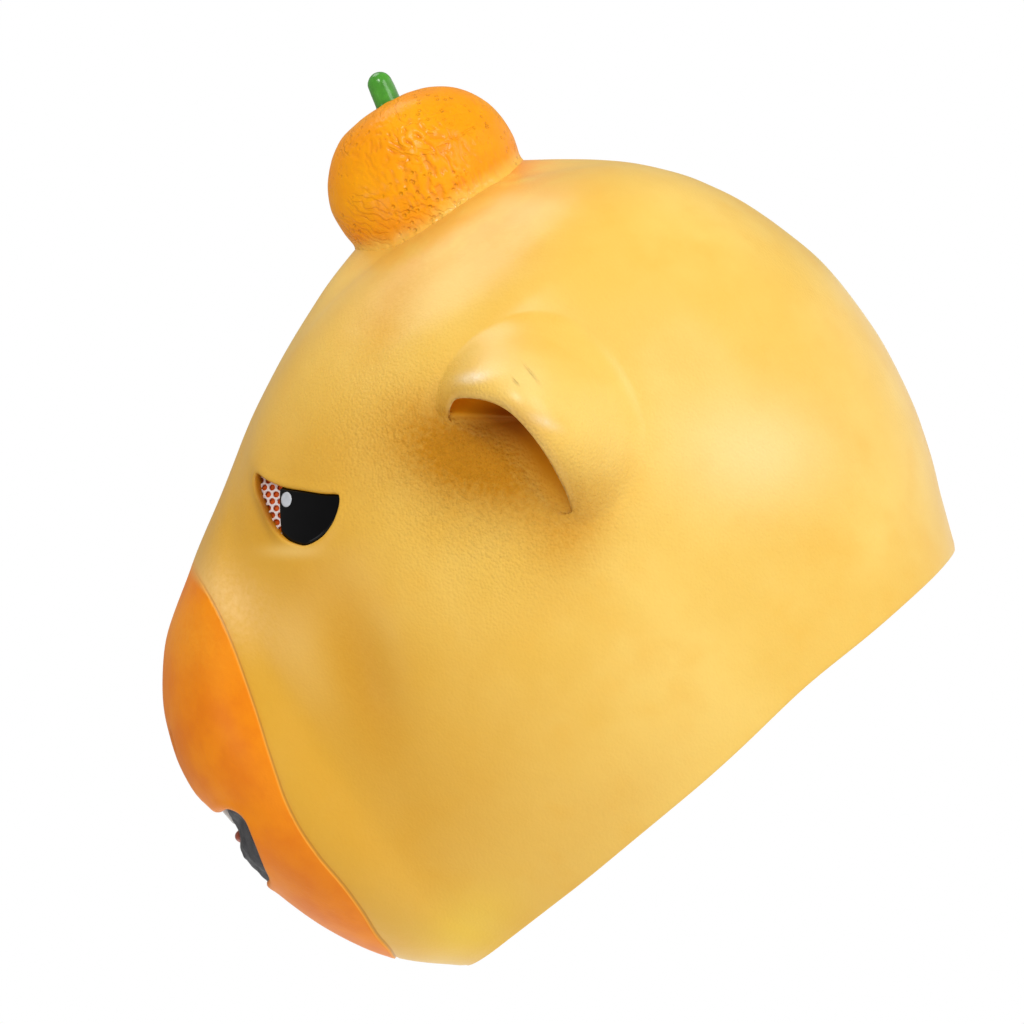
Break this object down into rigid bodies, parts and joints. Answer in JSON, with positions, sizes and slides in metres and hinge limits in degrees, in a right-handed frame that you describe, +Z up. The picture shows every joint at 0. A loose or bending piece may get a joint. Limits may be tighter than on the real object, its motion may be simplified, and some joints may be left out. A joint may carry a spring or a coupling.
{
  "type": "animal head mask",
  "caption": "Full-head latex mask of a capybara with a mandarin on its crown: hollow, open at the neck, worn over a person's head and standing on its neck edge when put down.",
  "frame": {"origin": "middle of the mask's bounding box on the plane of the neck edge", "axes": "+Z up from the neck edge to the crown, the face looks along -Y, +X is the animal's left side"},
  "size_m": [0.3266, 0.3624, 0.3257],
  "materials": {
    "skin_yellow": "satin latex, painted yellow with an orange muzzle",
    "mandarin_orange": "satin painted latex with pores and wrinkles",
    "stalk_green": "glossy green paint",
    "eye_black": "glossy black",
    "net_white": "white openwork net",
    "backing_orange": "matte orange-red",
    "lining_dark": "matte dark grey",
    "tooth_white": "off-white",
    "tongue_red": "matte dull red"
  },
  "bodies": {
    "root": {"head_skin": "skin_yellow", "mandarin": "mandarin_orange", "mandarin_stalk": "stalk_green", "eye_left": "eye_black", "eye_right": "eye_black", "eye_net_left": "net_white", "eye_net_right": "net_white", "eye_backing_left": "backing_orange", "eye_backing_right": "backing_orange", "mouth_lining": "lining_dark", "tooth_left": "tooth_white", "tooth_right": "tooth_white", "tongue": "tongue_red"}
  },
  "joints": []
}
